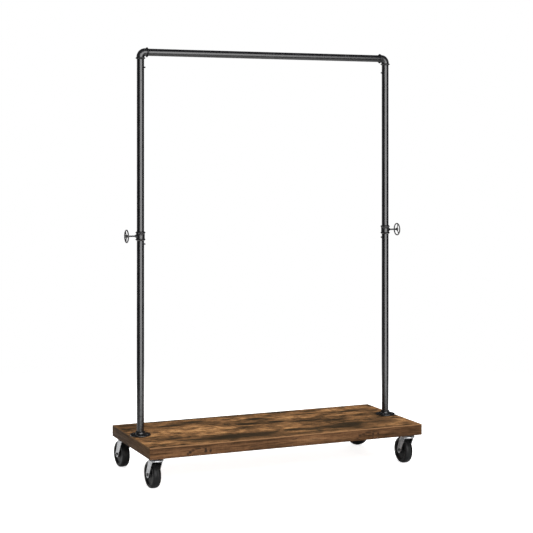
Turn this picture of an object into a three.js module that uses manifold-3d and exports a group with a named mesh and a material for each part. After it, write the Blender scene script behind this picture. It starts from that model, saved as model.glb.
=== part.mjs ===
// Rolling clothes rack: a thick wood-look deck on four swivel casters, and a hanging frame of
// black steel pipe with cast fittings. Millimetres, +Z up. X runs along the hanging rail, -Y is the
// front. The origin is on the floor, under the middle of everything the rack covers.

import * as THREE from "three";
import { mergeVertices } from "three/addons/utils/BufferGeometryUtils.js";
import Module from "manifold-3d";

const wasm = await Module();
wasm.setup();

// ---- Driving dimensions ----

const seam = 0.3; // clearance between pieces that touch or pass through each other

const deckLength = 1100;
const deckDepth = 453;
const deckThickness = 41.5;
const bandThickness = 1.5; // edging strip
const bayInset = 140; // from each end of the deck to its middle bay, which is free of fixings
const uprightInset = 39; // from each end of the deck to the upright's axis

const pipeRadius = 13.5;
const pipeWall = 1.5;
const spigotWall = 1.7; // wall of every piece that plugs into a pipe
const railHeight = 1417; // from the deck's top to the rail's axis
const lowerJoint = 72; // height of the joint line above the deck, lower nipple to lower tube
const teeHeight = 737; // height of the handwheel's axis above the deck
const upperJoint = 105; // depth of the joint line below the rail's axis, upper tube to upper nipple
const plugLength = 22; // how far a nipple's spigot reaches into its tube

const flangePlate = 4.2; // thickness of the flange's rim
const flangeHub = 16; // height of the flange's neck
const flangeHubWall = 3.6;
const flangeFillet = 4; // width and height of the slope at the neck's foot
const flangeMargin = 6.1; // from the screws' heads to the flange's edge
const flangeScrewClear = 2.2; // from the slope at the neck's foot to the screws' heads
const woodScrewRadius = 2;
const woodScrewHead = 4.4;
const woodScrewHeadHeight = 2.4;
const woodScrewLength = 20; // under the head

const teeLength = 35;
const teeWall = 2.2; // between the two beads
const beadProud = 5.1; // how far a bead stands out from the pipe
const beadWidth = 3;
const beadFlare = 2.5; // length of the slope on each side of a bead
const teeBeadPitch = 26; // between the tee's two beads
const bossLength = 7.5; // how far the tee's side boss stands out from the pipe
const bossRoot = 7.5;
const bossTip = 4.6;
const sleeveReach = 52; // how far the inner sleeve reaches to each side of the tee's middle

const stemRadius = 3;
const handwheelStandoff = 40; // from the pipe to the plane of the rim
const handwheelRadius = 25;
const rimRadius = 2.4;
const hubRadius = 5.2;
const hubLength = 9;
const spokeRadius = 1.9;
const spokeCount = 3;
const spokeLean = { left: 40, right: 20 }; // degrees from upright to each wheel's first spoke

const fixingDrop = 30; // lower fixing screw, below the tee's middle
const topFixingDrop = 56; // upper fixing screw, below the rail's axis
const fixingRadius = 1.9;
const fixingHead = 3.3;
const fixingHeadHeight = 4;
const fixingNeck = 1.6; // bare thread between the pipe and the head

const elbowProud = 1.2; // how far the elbow's bend stands out from the pipe
const bendInside = 3.3; // radius of the bend's inner side
const mouthDown = 8; // length of the elbow's lower mouth, below the bend
const mouthAlong = 11; // length of its mouth on the rail
const elbowPlugDown = 42; // how far the elbow's spigot reaches into the upper nipple
const elbowPlugAlong = 30; // how far its other spigot reaches into the rail

const wheelRadius = 50;
const wheelWidth = 31;
const wheelHubRadius = 11;
const hubProud = 1.7; // how far the hub stands out from each side of the wheel
const treadCrown = 2.6; // how much lower the tread is at its edges
const treadDepth = 13; // from the tread to the wheel's recessed side
const sideRecess = 6; // how deep each side is recessed
const wheelGap = 6; // between the wheel and the kingpin's head
const casterTrail = 34; // from the swivel axis back to the wheel's axle
// how far each fork stands turned at rest, in degrees from trailing straight back
const casterHeadings = { front_left: 3.4, front_right: 1.1, back_right: 33, back_left: 5 };
const axleRadius = 4;
const axleHead = 5.4;
const axleHeadHeight = 2.6;
const metalThickness = 2.5; // of the fork's sheet
const legClearance = 0.8; // between the wheel's hub and each fork leg
const legEnd = 12; // radius of the fork leg's round end
const legFront = -16; // the leg's front edge at the crown, from the swivel axis
const legBack = 21; // the leg's back edge at the crown
const crownMargin = 6; // from the leg's outer face to the crown's edge
const crownHeight = 6.5;
const kingpinRadius = 5;
const kingpinHead = 8.5;
const kingpinHeadHeight = 2;
const raceDepth = 4.6;
const plateMargin = 4.5; // from the crown's edge to the plate's edge
const plateThickness = 2.5;
const plateCorner = 5; // size of the plate's cut corners
const plateHoleInset = 8; // from the plate's edge to its screw holes
const plateScrewRadius = 2.2;
const plateInsetX = 7; // from the deck's end to the plate
const plateInsetY = 12.5; // from the deck's front and back edges to the plate

// ---- Sizes that follow ----

const tubeBore = pipeRadius - pipeWall;
const plugRadius = tubeBore - seam;
const plugBore = plugRadius - spigotWall;
const sleeveBore = pipeRadius + seam; // of the flange and the tee, which slip over the pipe
const beadRadius = pipeRadius + beadProud;

const legInside = wheelWidth / 2 + hubProud + legClearance;
const crownRadius = legInside + metalThickness + crownMargin;
const raceRadius = crownRadius - crownMargin;
const plateSize = 2 * (crownRadius + plateMargin);
const crownTop = -(plateThickness + raceDepth + 2 * seam); // from the deck's underside
const kingpinUnder = crownTop - metalThickness - seam;
const casterHeight = 2 * wheelRadius + wheelGap + kingpinHeadHeight - kingpinUnder;

const deckTop = casterHeight + deckThickness;
const railAxis = deckTop + railHeight;
const teeMiddle = deckTop + teeHeight;
const panelLength = deckLength - 2 * (bandThickness + seam);
const panelDepth = deckDepth - 2 * (bandThickness + seam);
const panelThickness = (deckThickness - seam) / 2;

const flangeNeck = sleeveBore + flangeHubWall;
const flangeScrewCircle = flangeNeck + flangeFillet + flangeScrewClear + woodScrewHead;
const flangeRadius = flangeScrewCircle + woodScrewHead + flangeMargin;
const flangeScrewSeat = flangePlate + 1 + 2 * seam; // the screw heads' underside, above the deck

const bossReach = pipeRadius + bossLength;
const handwheelOffset = pipeRadius + handwheelStandoff;
const elbowRadius = pipeRadius + elbowProud;
const bendRadius = elbowRadius + bendInside; // of the elbow's centre line
const elbowDrop = bendRadius + mouthDown;
const elbowRun = bendRadius + mouthAlong;

const uprightX = deckLength / 2 - uprightInset;
const casterX = deckLength / 2 - plateInsetX - plateSize / 2;
const casterY = deckDepth / 2 - plateInsetY - plateSize / 2;

const PIPE_FACETS = 20; // around pipes, fittings and wheels
const BEND_FACETS = 16; // around the elbow, the handwheel's hub and the kingpin
const BORE_FACETS = 12; // around the elbow's bore and the tee's boss
const SCREW_FACETS = 8; // around screws, stems and axles
const HOLE_FACETS = 6; // around plain screw holes and spokes

// ---- Finishes ----

const finish = (color, roughness, metalness) =>
  new THREE.MeshStandardMaterial({ color, roughness, metalness });
const woodTop = () => finish(0x7d5030, 0.55, 0);
const woodEdge = () => finish(0x6b4530, 0.6, 0);
const blackPipe = () => finish(0x16171a, 0.38, 0.6);
const blackCasting = () => finish(0x121214, 0.5, 0.5);
const blackScrew = () => finish(0x1d1e20, 0.35, 0.8);
const zinc = () => finish(0xc9ccd0, 0.22, 0.95);
const blackRubber = () => finish(0x0d0d0e, 0.62, 0);

// ---- Shape helpers ----

/** A piece turned about the Z axis from a closed outline of [radius, height] points. */
function turned(outline, sides = PIPE_FACETS, firstCorner = 0) {
  const points = outline.map(([radius, height]) => new THREE.Vector2(radius, height));
  if (outline[0][0] > 0) points.push(points[0].clone());
  return new THREE.LatheGeometry(points, sides, firstCorner).rotateX(Math.PI / 2);
}

/** A straight length of pipe along Z. */
function pipe(outer, inner, low, high, sides = PIPE_FACETS) {
  return turned([[inner, low], [outer, low], [outer, high], [inner, high]], sides);
}

/** A round bar along Z. */
function bar(radius, low, high, sides = SCREW_FACETS) {
  return turned([[0, low], [radius, low], [radius, high], [0, high]], sides);
}

/** The corner radius of a regular polygon whose flats lie at the given radius. */
const around = (radius, sides = SCREW_FACETS) => radius / Math.cos(Math.PI / sides);

/** A hole in a flat outline, whose flats clear a round bar of the given radius. */
function roundHole(radius, x, y, sides) {
  const corner = around(radius, sides);
  const points = [];
  for (let i = 0; i < sides; i++) {
    const angle = (2 * Math.PI * i) / sides;
    points.push(new THREE.Vector2(x + corner * Math.cos(angle), y + corner * Math.sin(angle)));
  }
  return new THREE.Path(points);
}

/** The four places of a square or rectangular pattern. */
function fourCorners(halfX, halfY) {
  return [[-halfX, -halfY], [halfX, -halfY], [halfX, halfY], [-halfX, halfY]];
}

/** A closed geometry as a solid that can be joined and cut. */
function toSolid(geometry) {
  const plain = geometry.clone();
  plain.deleteAttribute("normal");
  plain.deleteAttribute("uv");
  const welded = mergeVertices(plain, 1e-4);
  const corners = welded.index.array;
  const triangles = [];
  for (let i = 0; i < corners.length; i += 3) {
    const [a, b, c] = corners.slice(i, i + 3);
    if (a !== b && b !== c && c !== a) triangles.push(a, b, c);
  }
  const vertProperties = new Float32Array(welded.attributes.position.array);
  const triVerts = new Uint32Array(triangles);
  return new wasm.Manifold(new wasm.Mesh({ numProp: 3, vertProperties, triVerts }));
}

/** Joins the first geometries, takes the second ones away, and gives the result. */
function shaped(joined, cut = []) {
  let solid = toSolid(joined[0]);
  for (const piece of joined.slice(1)) solid = solid.add(toSolid(piece));
  for (const tool of cut) solid = solid.subtract(toSolid(tool));
  const mesh = solid.getMesh();
  const geometry = new THREE.BufferGeometry();
  geometry.setAttribute("position", new THREE.BufferAttribute(mesh.vertProperties, 3));
  geometry.setIndex(new THREE.BufferAttribute(mesh.triVerts, 1));
  return geometry;
}

/** How far behind its swivel axis a caster's wheel reaches. */
function reachBehind(heading) {
  const trailing = wheel().translate(0, casterTrail, 0).rotateZ(THREE.MathUtils.degToRad(heading));
  return new THREE.Box3().setFromBufferAttribute(trailing.attributes.position).max.y;
}

// The wheels trail to the back, past the deck's edge, so the deck's middle lies a little forward.
const { back_left: leftHeading, back_right: rightHeading } = casterHeadings;
const farthest = Math.max(reachBehind(leftHeading), reachBehind(rightHeading));
const overhang = Math.max(0, casterY + farthest - deckDepth / 2);
const rack = new THREE.Group();
rack.position.y = -overhang / 2;

function add(name, geometry, material, x = 0, y = 0, z = 0) {
  const mesh = new THREE.Mesh(geometry, material);
  mesh.name = name;
  mesh.position.set(x, y, z);
  rack.add(mesh);
  return mesh;
}

// ---- Deck: two face-glued panels behind four edging strips ----

/**
 * A deck panel with its screw holes. It is laid out in three bays that meet face to face, so that
 * the clear bay in the middle is a plain rectangle; the walls between the bays are left out.
 */
function panel(holes, holeRadius) {
  const endX = panelLength / 2;
  const edgeY = panelDepth / 2;
  const bayX = deckLength / 2 - bayInset;
  const innerWall = Math.fround(bayX);
  const corners = [];
  for (const [low, high] of [[-endX, -bayX], [-bayX, bayX], [bayX, endX]]) {
    const outline = new THREE.Shape([
      new THREE.Vector2(low, -edgeY),
      new THREE.Vector2(high, -edgeY),
      new THREE.Vector2(high, edgeY),
      new THREE.Vector2(low, edgeY),
    ]);
    outline.holes = holes
      .filter(([x]) => x > low && x < high)
      .map(([x, y]) => roundHole(holeRadius, x, y, HOLE_FACETS));
    const bay = new THREE.ExtrudeGeometry(outline, { depth: panelThickness, bevelEnabled: false });
    const place = bay.attributes.position.array;
    for (let i = 0; i < place.length; i += 9) {
      const [x1, x2, x3] = [place[i], place[i + 3], place[i + 6]];
      const onInnerWall = x1 === x2 && x2 === x3 && Math.abs(x1) === innerWall;
      if (!onInnerWall) corners.push(...place.slice(i, i + 9));
    }
  }
  const geometry = new THREE.BufferGeometry();
  geometry.setAttribute("position", new THREE.Float32BufferAttribute(corners, 3));
  return geometry;
}

/** The pattern's places around each of the centres. */
function aroundEach(centres, pattern) {
  return centres.flatMap(([cx, cy]) => pattern.map(([x, y]) => [cx + x, cy + y]));
}

const flangeCentres = [[-uprightX, 0], [uprightX, 0]];
const flangePattern = fourCorners(flangeScrewCircle * Math.SQRT1_2, flangeScrewCircle * Math.SQRT1_2);
const casterCentres = fourCorners(casterX, casterY);
const plateHole = plateSize / 2 - plateHoleInset;
const casterPattern = fourCorners(plateHole, plateHole);

const upperPanel = panel(aroundEach(flangeCentres, flangePattern), woodScrewRadius + seam);
const lowerPanel = panel(aroundEach(casterCentres, casterPattern), plateScrewRadius);
add("deck_upper_panel", upperPanel, woodTop(), 0, 0, deckTop - panelThickness);
add("deck_lower_panel", lowerPanel, woodTop(), 0, 0, casterHeight);

const frontBand = () => new THREE.BoxGeometry(deckLength, bandThickness, deckThickness);
const sideBand = () => new THREE.BoxGeometry(bandThickness, panelDepth, deckThickness);
const bandMiddle = casterHeight + deckThickness / 2;
const bandX = (deckLength - bandThickness) / 2;
const bandY = (deckDepth - bandThickness) / 2;
add("edge_band_front", frontBand(), woodEdge(), 0, -bandY, bandMiddle);
add("edge_band_back", frontBand(), woodEdge(), 0, bandY, bandMiddle);
add("edge_band_left", sideBand(), woodEdge(), -bandX, 0, bandMiddle);
add("edge_band_right", sideBand(), woodEdge(), bandX, 0, bandMiddle);

// ---- Uprights ----

/** The floor flange: a round plate with four screw holes and a tapered neck around the pipe. */
function flange() {
  const edge = 1.2; // softened edge of the plate
  const lip = 1.5; // softened edge of the neck
  const body = turned([
    [sleeveBore, 0],
    [flangeRadius, 0],
    [flangeRadius, flangePlate - edge],
    [flangeRadius - edge, flangePlate],
    [flangeNeck + flangeFillet, flangePlate + 0.2 * flangeFillet],
    [flangeNeck + 0.2 * flangeFillet, flangePlate + flangeFillet],
    [flangeNeck, flangeHub - lip],
    [flangeNeck - lip, flangeHub],
    [sleeveBore, flangeHub],
  ]);
  const holes = flangePattern.map(([x, y]) =>
    bar(around(woodScrewRadius + seam), -1, flangeHub).translate(x, y, 0));
  return shaped([body], holes);
}

/** A round-headed wood screw, its head resting at height 0. */
function woodScrew() {
  return turned([
    [0, -woodScrewLength],
    [woodScrewRadius, -woodScrewLength + 2 * woodScrewRadius],
    [woodScrewRadius, 0],
    [woodScrewHead, 0],
    [woodScrewHead, 0.3 * woodScrewHeadHeight],
    [0.7 * woodScrewHead, 0.85 * woodScrewHeadHeight],
    [0, woodScrewHeadHeight],
  ], SCREW_FACETS);
}

/** The hole that a fixing screw passes through, on the side that faces +X. */
function fixingHole(height) {
  return bar(around(fixingRadius + seam), 0, 2 * pipeRadius)
    .rotateY(Math.PI / 2)
    .translate(0, 0, height);
}

/** The stub between the flange and the lower tube, with a spigot that plugs into the tube. */
function lowerNipple() {
  const foot = 1;
  return turned([
    [plugBore, foot],
    [pipeRadius, foot],
    [pipeRadius, lowerJoint - seam],
    [plugRadius, lowerJoint - seam],
    [plugRadius, lowerJoint + plugLength],
    [plugBore, lowerJoint + plugLength],
  ]);
}

const lowerTube = () =>
  shaped([pipe(pipeRadius, tubeBore, lowerJoint, teeHeight - seam / 2)],
    [fixingHole(teeHeight - fixingDrop)]);

const upperTube = () =>
  pipe(pipeRadius, tubeBore, teeHeight + seam / 2, railHeight - upperJoint);

/** The sleeve inside both tubes where they meet; the fixing screw holds it. */
const innerSleeve = () =>
  shaped([pipe(plugRadius, plugBore, teeHeight - sleeveReach, teeHeight + sleeveReach)],
    [fixingHole(teeHeight - fixingDrop)]);

/** The stub under the elbow: a spigot below, and a bore above that takes the elbow's spigot. */
function upperNipple() {
  const joint = railHeight - upperJoint;
  const body = turned([
    [plugBore, joint - plugLength],
    [plugRadius, joint - plugLength],
    [plugRadius, joint + seam],
    [pipeRadius, joint + seam],
    [pipeRadius, railHeight - elbowDrop - seam],
    [tubeBore, railHeight - elbowDrop - seam],
    [tubeBore, joint + seam + pipeWall + spigotWall],
    [plugBore, joint + seam + pipeWall],
  ]);
  return shaped([body], [fixingHole(railHeight - topFixingDrop)]);
}

/** Outline points of one raised bead around a fitting, from its lower slope to its upper one. */
function bead(middle, below, above) {
  const half = beadWidth / 2;
  return [
    [below, middle - half - beadFlare],
    [beadRadius, middle - half],
    [beadRadius, middle + half],
    [above, middle + half + beadFlare],
  ];
}

/** The coupling that joins the tubes, with a boss on its +X side for the handwheel's stem. */
function tee() {
  const lip = sleeveBore + 0.6; // the mouths' outer radius
  const half = teeLength / 2;
  const neck = sleeveBore + teeWall;
  const body = turned([
    [sleeveBore, -half],
    [lip, -half],
    ...bead(-teeBeadPitch / 2, lip + seam, neck),
    ...bead(teeBeadPitch / 2, neck, lip + seam),
    [lip, half],
    [sleeveBore, half],
  ]);
  const boss = turned([
    [0, 0],
    [bossRoot, 0],
    [bossRoot, sleeveBore + 1],
    [bossTip, bossReach],
    [0, bossReach],
  ], BORE_FACETS).rotateY(Math.PI / 2);
  const throughBore = bar(sleeveBore, -half - 1, half + 1, PIPE_FACETS);
  const stemHole = bar(around(stemRadius + seam), 0, bossReach + 1).rotateY(Math.PI / 2);
  return shaped([body, boss], [throughBore, stemHole]);
}

const socketCap = 2; // closed end of the bore in the handwheel's hub

/** The threaded stem along +X, from just short of the tubes to inside the handwheel's hub. */
function stem() {
  const start = pipeRadius + 2 * seam;
  const end = handwheelOffset + hubLength / 2 - socketCap - seam;
  const tip = 0.8; // taper of the end that bears on the tubes
  return turned([
    [0, start],
    [stemRadius - tip, start],
    [stemRadius, start + tip],
    [stemRadius, end],
    [0, end],
  ], SCREW_FACETS).rotateY(Math.PI / 2);
}

/** The handwheel, facing +X: a round rim, three spokes and a domed hub with a blind bore. */
function handwheel(lean) {
  const ringRadius = handwheelRadius - rimRadius;
  const rim = new THREE.TorusGeometry(ringRadius, rimRadius, 6, 24);
  const half = hubLength / 2;
  const hub = turned([
    [0, -half],
    [0.8 * hubRadius, -half],
    [hubRadius, -half + 0.2 * hubRadius],
    [hubRadius, half - 0.4 * hubRadius],
    [0.65 * hubRadius, half - 0.1 * hubRadius],
    [0, half],
  ], BEND_FACETS);
  const spokes = [];
  for (let i = 0; i < spokeCount; i++) {
    const spoke = bar(spokeRadius, 0, ringRadius, HOLE_FACETS).rotateX(-Math.PI / 2);
    spokes.push(spoke.rotateZ(THREE.MathUtils.degToRad(lean) + (2 * Math.PI * i) / spokeCount));
  }
  const socket = bar(around(stemRadius + seam), -half - 1, half - socketCap);
  const wheel = shaped([rim, hub, ...spokes], [socket]);
  return wheel.rotateZ(Math.PI / 2).rotateY(Math.PI / 2).translate(handwheelOffset, 0, 0);
}

/** A round-headed fixing screw along +X, from inside the spigot to its head outside the pipe. */
function fixingScrew() {
  const under = pipeRadius + fixingNeck;
  const top = under + fixingHeadHeight;
  return turned([
    [0, plugBore - 1],
    [fixingRadius, plugBore - 1],
    [fixingRadius, under],
    [0.8 * fixingHead, under],
    [fixingHead, under + 0.2 * fixingHeadHeight],
    [fixingHead, under + 0.6 * fixingHeadHeight],
    [0.6 * fixingHead, top - 0.1 * fixingHeadHeight],
    [0, top],
  ], SCREW_FACETS).rotateY(Math.PI / 2);
}

/** The centre line of the elbow's bend, from pointing up to pointing along +X. */
class QuarterBend extends THREE.Curve {
  getPoint(t, target = new THREE.Vector3()) {
    const angle = (t * Math.PI) / 2;
    const x = bendRadius * (1 - Math.cos(angle));
    const z = bendRadius * (Math.sin(angle) - 1);
    return target.set(x, 0, z);
  }
}

/** A round section swept around the elbow's bend. */
function bend(radius, sides) {
  const section = new THREE.Shape(roundHole(radius, 0, 0, sides).getPoints());
  return new THREE.ExtrudeGeometry(section, { steps: 5, extrudePath: new QuarterBend() });
}

/** The elbow between upright and rail: a bend with a beaded mouth and a spigot at each end. */
function elbow() {
  const overlap = 1.5; // how far each mouth runs into the bend
  const lip = pipeRadius + 1; // the mouths' outer radius
  const mouth = (reach, plug) => {
    const middle = reach - beadFlare - beadWidth / 2;
    return turned([
      [0, bendRadius - overlap],
      [elbowRadius, bendRadius - overlap],
      ...bead(middle, elbowRadius, lip),
      [plugRadius, reach],
      [plugRadius, reach + plug],
      [0, reach + plug],
    ], BEND_FACETS);
  };
  const bore = (reach) => bar(plugBore, bendRadius - overlap, reach + 1, BORE_FACETS);
  const down = (geometry) => geometry.rotateX(Math.PI);
  const along = (geometry) => geometry.rotateY(Math.PI / 2);
  return shaped(
    [
      bend(elbowRadius, BEND_FACETS),
      down(mouth(elbowDrop, elbowPlugDown)),
      along(mouth(elbowRun, elbowPlugAlong)),
    ],
    [
      bend(plugBore, BORE_FACETS),
      down(bore(elbowDrop + elbowPlugDown)),
      along(bore(elbowRun + elbowPlugAlong)),
      fixingHole(-topFixingDrop),
    ],
  );
}

/** One whole upright. side is -1 for the left one and +1 for the right one. */
function upright(side, label) {
  const x = side * uprightX;
  const inward = side < 0 ? 0 : Math.PI; // turns a piece made facing +X towards the middle
  const outward = Math.PI - inward;
  const place = (name, geometry, material, z, turn = 0) => {
    const mesh = add(`${name}_${label}`, geometry, material, x, 0, z);
    mesh.rotation.z = turn;
  };
  place("floor_flange", flange(), blackCasting(), deckTop + seam);
  flangePattern.forEach(([dx, dy], i) => {
    const name = `flange_screw_${label}_${i + 1}`;
    const seat = deckTop + flangeScrewSeat;
    add(name, woodScrew(), blackScrew(), x + dx, dy, seat);
  });
  place("lower_nipple", lowerNipple(), blackPipe(), deckTop);
  place("lower_tube", lowerTube(), blackPipe(), deckTop, inward);
  place("inner_sleeve", innerSleeve(), blackPipe(), deckTop, inward);
  place("lower_fixing_screw", fixingScrew(), blackScrew(), teeMiddle - fixingDrop, inward);
  place("tee_coupling", tee(), blackCasting(), teeMiddle, outward);
  place("stem", stem(), blackScrew(), teeMiddle, outward);
  place("handwheel", handwheel(spokeLean[label]), blackCasting(), teeMiddle, outward);
  place("upper_tube", upperTube(), blackPipe(), deckTop);
  place("upper_nipple", upperNipple(), blackPipe(), deckTop, inward);
  place("top_fixing_screw", fixingScrew(), blackScrew(), railAxis - topFixingDrop, inward);
  place("elbow", elbow(), blackCasting(), railAxis, inward);
}

upright(-1, "left");
upright(1, "right");

const railHalf = uprightX - elbowRun - seam;
const rail = pipe(pipeRadius, tubeBore, -railHalf, railHalf).rotateY(Math.PI / 2);
add("hanging_rail", rail, blackPipe(), 0, 0, railAxis);

// ---- Casters ----

/** The top plate with its pressed ball race. Height 0 is the deck's underside. */
function casterPlate() {
  const half = plateSize / 2;
  const corner = plateCorner;
  const outline = new THREE.Shape();
  outline.moveTo(half, -half + corner);
  outline.absarc(half - corner, half - corner, corner, 0, Math.PI / 2);
  outline.absarc(-half + corner, half - corner, corner, Math.PI / 2, Math.PI);
  outline.absarc(-half + corner, -half + corner, corner, Math.PI, 1.5 * Math.PI);
  outline.absarc(half - corner, -half + corner, corner, 1.5 * Math.PI, 2 * Math.PI);
  outline.holes = casterPattern.map(([x, y]) => roundHole(plateScrewRadius + seam, x, y, HOLE_FACETS));
  const settings = { depth: plateThickness, bevelEnabled: false, curveSegments: 1 };
  const under = -seam - plateThickness;
  const plate = new THREE.ExtrudeGeometry(outline, settings).translate(0, 0, under);
  const race = turned([
    [0, under - raceDepth],
    [raceRadius - 1.5, under - raceDepth],
    [raceRadius, under],
    [raceRadius, under + 1],
    [0, under + 1],
  ]);
  const pinHole = bar(kingpinRadius + 2 * seam, under - raceDepth - 1, 1, BEND_FACETS);
  return shaped([plate, race], [pinHole]);
}

/** The kingpin: a rivet that holds the fork under the plate. */
function kingpin() {
  return turned([
    [0, kingpinUnder - kingpinHeadHeight],
    [kingpinHead - 1, kingpinUnder - kingpinHeadHeight],
    [kingpinHead, kingpinUnder - 0.3 * kingpinHeadHeight],
    [kingpinHead, kingpinUnder],
    [kingpinRadius, kingpinUnder],
    [kingpinRadius, -2 * seam],
    [0, -2 * seam],
  ], BEND_FACETS);
}

/** One fork leg's outline in the YZ plane, given as (y, z), from crown to round end. */
function legOutline() {
  const axleY = casterTrail;
  const axleZ = wheelRadius - casterHeight;
  const topZ = crownTop - metalThickness / 2;
  // the edges touch the round end where a line from the crown's edge is tangent to it
  const tangent = (fromY, side) => {
    const dy = axleY - fromY;
    const dz = axleZ - topZ;
    return Math.atan2(dz, dy) + side * (Math.PI - Math.acos(legEnd / Math.hypot(dy, dz)));
  };
  const outline = new THREE.Shape();
  outline.moveTo(legBack, topZ);
  outline.lineTo(legFront, topZ);
  outline.absarc(axleY, axleZ, legEnd, tangent(legFront, -1), tangent(legBack, 1));
  return outline;
}

/** The fork: a dished crown with two legs down to the axle, pressed from sheet steel. */
function fork() {
  const rim = crownTop - crownHeight;
  const crown = turned([
    [0, crownTop - metalThickness],
    [crownRadius - metalThickness, crownTop - metalThickness],
    [crownRadius - metalThickness, rim],
    [crownRadius, rim],
    [crownRadius, crownTop - metalThickness],
    [crownRadius - metalThickness, crownTop],
    [0, crownTop],
  ]);
  const leg = (x) => {
    const settings = { depth: metalThickness, bevelEnabled: false, curveSegments: 4 };
    const sheet = new THREE.ExtrudeGeometry(legOutline(), settings);
    // the outline's (y, z) plane becomes the world's, and its depth runs along +X
    sheet.rotateX(Math.PI / 2).rotateZ(Math.PI / 2);
    return sheet.translate(x, 0, 0);
  };
  const pinHole = bar(kingpinRadius + 2 * seam, crownTop - 2 * metalThickness, 1, BEND_FACETS);
  const axleHole = bar(around(axleRadius + seam), -crownRadius, crownRadius)
    .rotateY(Math.PI / 2)
    .translate(0, casterTrail, wheelRadius - casterHeight);
  return shaped([crown, leg(legInside), leg(-legInside - metalThickness)], [pinHole, axleHole]);
}

/** The axle: a shouldered rivet along X with a low round head outside each leg. */
function axle() {
  const face = legInside + metalThickness + seam;
  const end = face + axleHeadHeight;
  return turned([
    [0, -end],
    [0.7 * axleHead, -end],
    [axleHead, -face - 0.3 * axleHeadHeight],
    [axleHead, -face],
    [axleRadius, -face],
    [axleRadius, face],
    [axleHead, face],
    [axleHead, face + 0.3 * axleHeadHeight],
    [0.7 * axleHead, end],
    [0, end],
  ], SCREW_FACETS).rotateY(Math.PI / 2);
}

/** The wheel about X: a crowned tread, recessed sides and a longer hub; it stands on a flat. */
function wheel() {
  const halfWidth = wheelWidth / 2;
  const halfHub = halfWidth + hubProud;
  const rimInside = wheelRadius - treadDepth;
  const web = halfWidth - sideRecess; // half the thickness between rim and hub
  const bore = axleRadius + 1.5 * seam;
  const half = [
    [around(wheelRadius, PIPE_FACETS), 5],
    [around(wheelRadius - treadCrown, PIPE_FACETS), halfWidth - 1],
    [rimInside, halfWidth],
    [rimInside - 2, web],
    [wheelHubRadius + 1, web],
    [wheelHubRadius, halfHub],
    [bore, halfHub],
  ];
  const mirrored = half.map(([radius, x]) => [radius, -x]).reverse();
  const firstCorner = Math.PI / PIPE_FACETS;
  return turned([...mirrored, ...half], PIPE_FACETS, firstCorner).rotateY(Math.PI / 2);
}

function caster(x, y, label) {
  const heading = THREE.MathUtils.degToRad(casterHeadings[label]);
  const place = (name, geometry, material, trail = 0, z = casterHeight) => {
    const dx = -trail * Math.sin(heading);
    const dy = trail * Math.cos(heading);
    add(`caster_${name}_${label}`, geometry, material, x + dx, y + dy, z);
  };
  place("plate", casterPlate(), zinc());
  place("kingpin", kingpin(), zinc());
  place("fork", fork().rotateZ(heading), zinc());
  place("axle", axle().rotateZ(heading), blackScrew(), casterTrail, wheelRadius);
  place("wheel", wheel().rotateZ(heading), blackRubber(), casterTrail, wheelRadius);
}

const casterLabels = ["front_left", "front_right", "back_right", "back_left"];
casterCentres.forEach(([x, y], i) => caster(x, y, casterLabels[i]));

export default rack;
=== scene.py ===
import math

import bpy
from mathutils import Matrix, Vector


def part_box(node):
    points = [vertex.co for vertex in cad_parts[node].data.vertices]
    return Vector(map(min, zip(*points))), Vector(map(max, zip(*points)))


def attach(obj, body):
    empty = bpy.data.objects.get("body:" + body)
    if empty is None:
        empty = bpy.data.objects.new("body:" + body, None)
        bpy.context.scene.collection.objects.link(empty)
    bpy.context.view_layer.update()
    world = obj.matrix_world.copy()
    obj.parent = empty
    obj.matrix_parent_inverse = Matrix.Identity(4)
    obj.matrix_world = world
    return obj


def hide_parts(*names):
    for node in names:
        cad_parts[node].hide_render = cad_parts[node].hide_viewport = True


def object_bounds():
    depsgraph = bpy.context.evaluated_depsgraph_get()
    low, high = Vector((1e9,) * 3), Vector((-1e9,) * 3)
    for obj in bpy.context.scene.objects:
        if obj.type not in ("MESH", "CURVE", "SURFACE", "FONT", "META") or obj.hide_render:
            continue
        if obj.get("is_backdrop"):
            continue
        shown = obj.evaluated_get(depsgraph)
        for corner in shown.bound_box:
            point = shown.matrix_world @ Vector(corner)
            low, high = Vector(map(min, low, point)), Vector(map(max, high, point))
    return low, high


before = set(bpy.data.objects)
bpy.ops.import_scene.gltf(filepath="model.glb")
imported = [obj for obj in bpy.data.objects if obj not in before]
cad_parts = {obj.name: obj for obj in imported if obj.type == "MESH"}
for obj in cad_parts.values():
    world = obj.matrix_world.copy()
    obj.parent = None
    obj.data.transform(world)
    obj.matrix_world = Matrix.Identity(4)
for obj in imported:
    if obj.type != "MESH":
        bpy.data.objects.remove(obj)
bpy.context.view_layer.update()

# ---------------------------------------------------------------------------------------------
# Deck panels: two particle-board panels glued face to face, covered with a printed rustic wood
# laminate. The print shows long brown and orange boards with charred streaks and dark knots, its
# grain running along the rack.

MM = 0.001


def add_node(finish, kind, inputs, **settings):
    """Adds a shader node; an input is given a number, a colour or another node's output."""
    made = finish.node_tree.nodes.new("ShaderNode" + kind)
    for name, value in settings.items():
        setattr(made, name, value)
    for name, value in inputs.items():
        if isinstance(value, bpy.types.NodeSocket):
            finish.node_tree.links.new(value, made.inputs[name])
        else:
            made.inputs[name].default_value = value
    return made


def start_finish(name):
    """An empty material, and its surface coordinates in metres."""
    finish = bpy.data.materials.new(name)
    finish.use_nodes = True
    finish.node_tree.nodes.clear()
    return finish, add_node(finish, "TexCoord", {}).outputs["Object"]


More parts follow.
